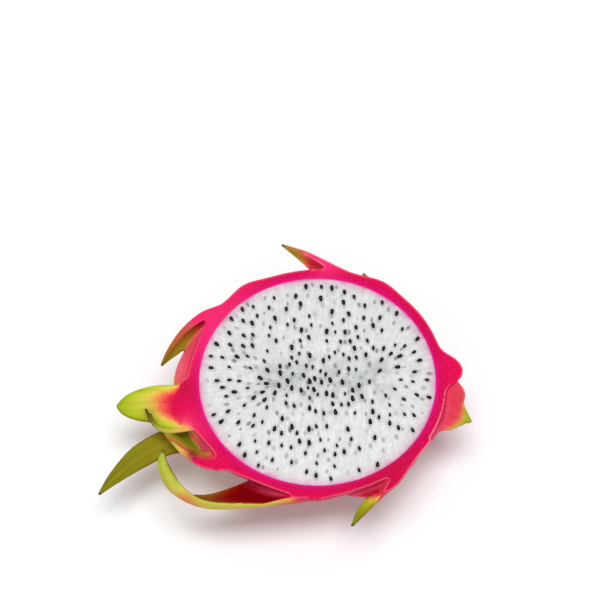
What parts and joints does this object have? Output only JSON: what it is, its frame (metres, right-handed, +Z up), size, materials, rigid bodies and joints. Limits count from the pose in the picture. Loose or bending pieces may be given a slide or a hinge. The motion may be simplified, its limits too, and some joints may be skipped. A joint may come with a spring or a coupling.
{
  "type": "dragon fruit half",
  "caption": "Half a dragon fruit cut lengthwise: pink peel with leafy green-tipped scales round white flesh full of small black seeds, lying cut face up.",
  "frame": {"origin": "centre of the small flat spot on the rounded back, where the half rests on a surface", "axes": "+Z up, square to the cut face; +X along the fruit's axis, from the flower end to the stem end"},
  "size_m": [0.157, 0.1208, 0.0474],
  "materials": {
    "peel": "waxy satin",
    "flesh": "moist"
  },
  "bodies": {
    "root": {"peel": "peel", "flesh": "flesh"}
  },
  "joints": []
}
